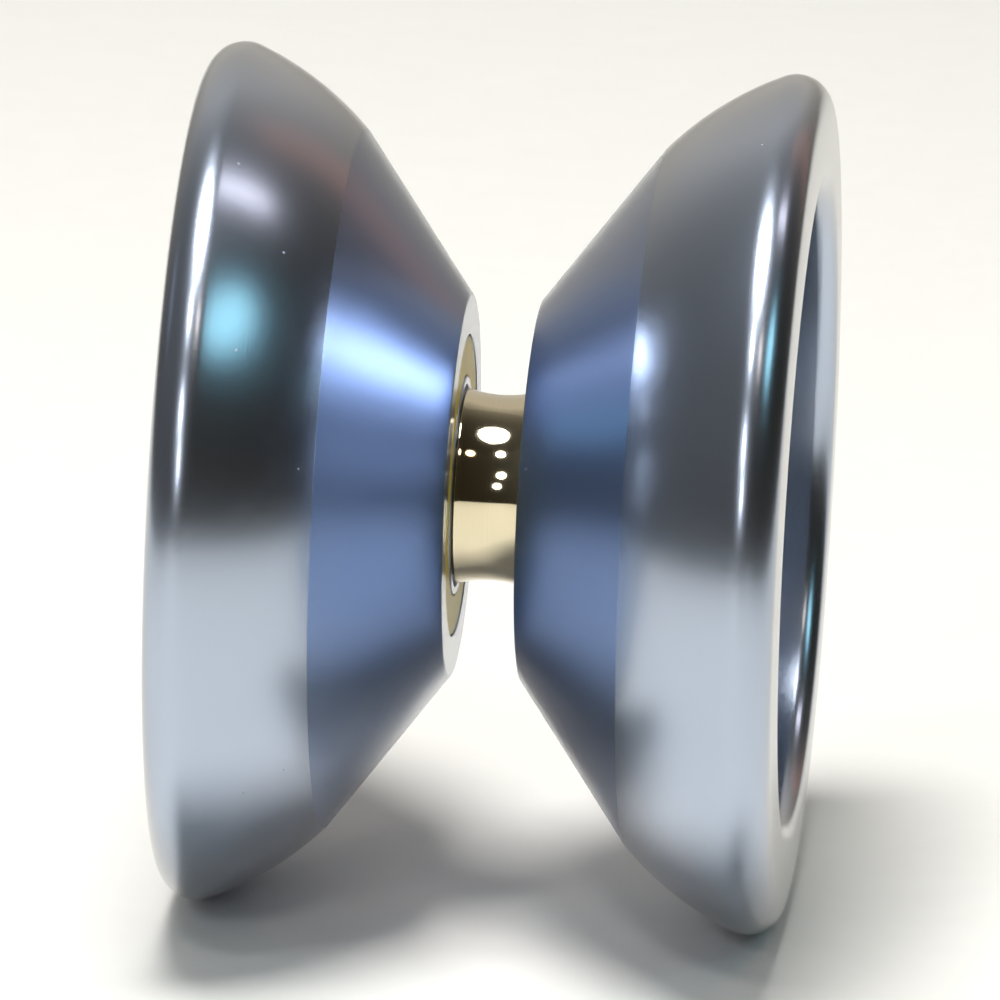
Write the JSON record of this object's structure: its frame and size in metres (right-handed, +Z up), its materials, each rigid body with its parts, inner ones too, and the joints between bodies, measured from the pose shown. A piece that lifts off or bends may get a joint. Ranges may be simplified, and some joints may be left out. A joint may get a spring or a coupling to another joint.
{
  "type": "yo-yo",
  "caption": "Bearing yo-yo with flared turned metal halves, hollow rim cups, a concave ball bearing on a screw axle and flush silicone response rings.",
  "frame": {"origin": "centre of the bearing, on the axle", "axes": "+X along the axle to the right half, +Z up with the yo-yo standing on its rims, +Y away from the viewer"},
  "size_m": [0.0406, 0.056, 0.056],
  "materials": {
    "anodised_aluminium": "fine-turned and anodised slate blue, glossy",
    "gold_race": "polished steel with a gold-coloured coating",
    "bearing_steel": "ground and polished steel",
    "spring_steel": "drawn wire",
    "cage_nylon": "moulded, natural",
    "black_steel": "black oxide",
    "silicone": "cast silicone, matte"
  },
  "bodies": {
    "body": {"left_half": "anodised_aluminium", "right_half": "anodised_aluminium", "axle_screw": "black_steel", "left_response_pad": "silicone", "right_response_pad": "silicone", "bearing_inner_race": "bearing_steel"},
    "outer_race": {"bearing_outer_race": "gold_race", "left_shield": "bearing_steel", "right_shield": "bearing_steel", "left_snap_ring": "spring_steel", "right_snap_ring": "spring_steel"},
    "cage": {"bearing_cage": "cage_nylon"},
    "ball_1": {"bearing_ball_1": "bearing_steel"},
    "ball_2": {"bearing_ball_2": "bearing_steel"},
    "ball_3": {"bearing_ball_3": "bearing_steel"},
    "ball_4": {"bearing_ball_4": "bearing_steel"},
    "ball_5": {"bearing_ball_5": "bearing_steel"},
    "ball_6": {"bearing_ball_6": "bearing_steel"},
    "ball_7": {"bearing_ball_7": "bearing_steel"},
    "ball_8": {"bearing_ball_8": "bearing_steel"}
  },
  "joints": [
    {"name": "race_spin", "type": "hinge", "parent": "body", "child": "outer_race", "pos_m": [0, 0, 0], "axis": [1, 0, 0], "continuous": true},
    {"name": "cage_spin", "type": "hinge", "parent": "body", "child": "cage", "pos_m": [0, 0, 0], "axis": [1, 0, 0], "continuous": true},
    {"name": "ball_1_roll", "type": "hinge", "parent": "cage", "child": "ball_1", "pos_m": [0, 0, 0.00476], "axis": [1, 0, 0], "continuous": true},
    {"name": "ball_2_roll", "type": "hinge", "parent": "cage", "child": "ball_2", "pos_m": [0, -0.00337, 0.00337], "axis": [1, 0, 0], "continuous": true},
    {"name": "ball_3_roll", "type": "hinge", "parent": "cage", "child": "ball_3", "pos_m": [0, -0.00476, 0], "axis": [1, 0, 0], "continuous": true},
    {"name": "ball_4_roll", "type": "hinge", "parent": "cage", "child": "ball_4", "pos_m": [0, -0.00337, -0.00337], "axis": [1, 0, 0], "continuous": true},
    {"name": "ball_5_roll", "type": "hinge", "parent": "cage", "child": "ball_5", "pos_m": [0, 0, -0.00476], "axis": [1, 0, 0], "continuous": true},
    {"name": "ball_6_roll", "type": "hinge", "parent": "cage", "child": "ball_6", "pos_m": [0, 0.00337, -0.00337], "axis": [1, 0, 0], "continuous": true},
    {"name": "ball_7_roll", "type": "hinge", "parent": "cage", "child": "ball_7", "pos_m": [0, 0.00476, 0], "axis": [1, 0, 0], "continuous": true},
    {"name": "ball_8_roll", "type": "hinge", "parent": "cage", "child": "ball_8", "pos_m": [0, 0.00337, 0.00337], "axis": [1, 0, 0], "continuous": true}
  ],
  "couplings": [
    {"joint": "cage_spin", "follows": "race_spin", "ratio": 0.58333},
    {"joint": "ball_1_roll", "follows": "race_spin", "ratio": 2.9167},
    {"joint": "ball_2_roll", "follows": "race_spin", "ratio": 2.9167},
    {"joint": "ball_3_roll", "follows": "race_spin", "ratio": 2.9167},
    {"joint": "ball_4_roll", "follows": "race_spin", "ratio": 2.9167},
    {"joint": "ball_5_roll", "follows": "race_spin", "ratio": 2.9167},
    {"joint": "ball_6_roll", "follows": "race_spin", "ratio": 2.9167},
    {"joint": "ball_7_roll", "follows": "race_spin", "ratio": 2.9167},
    {"joint": "ball_8_roll", "follows": "race_spin", "ratio": 2.9167}
  ]
}
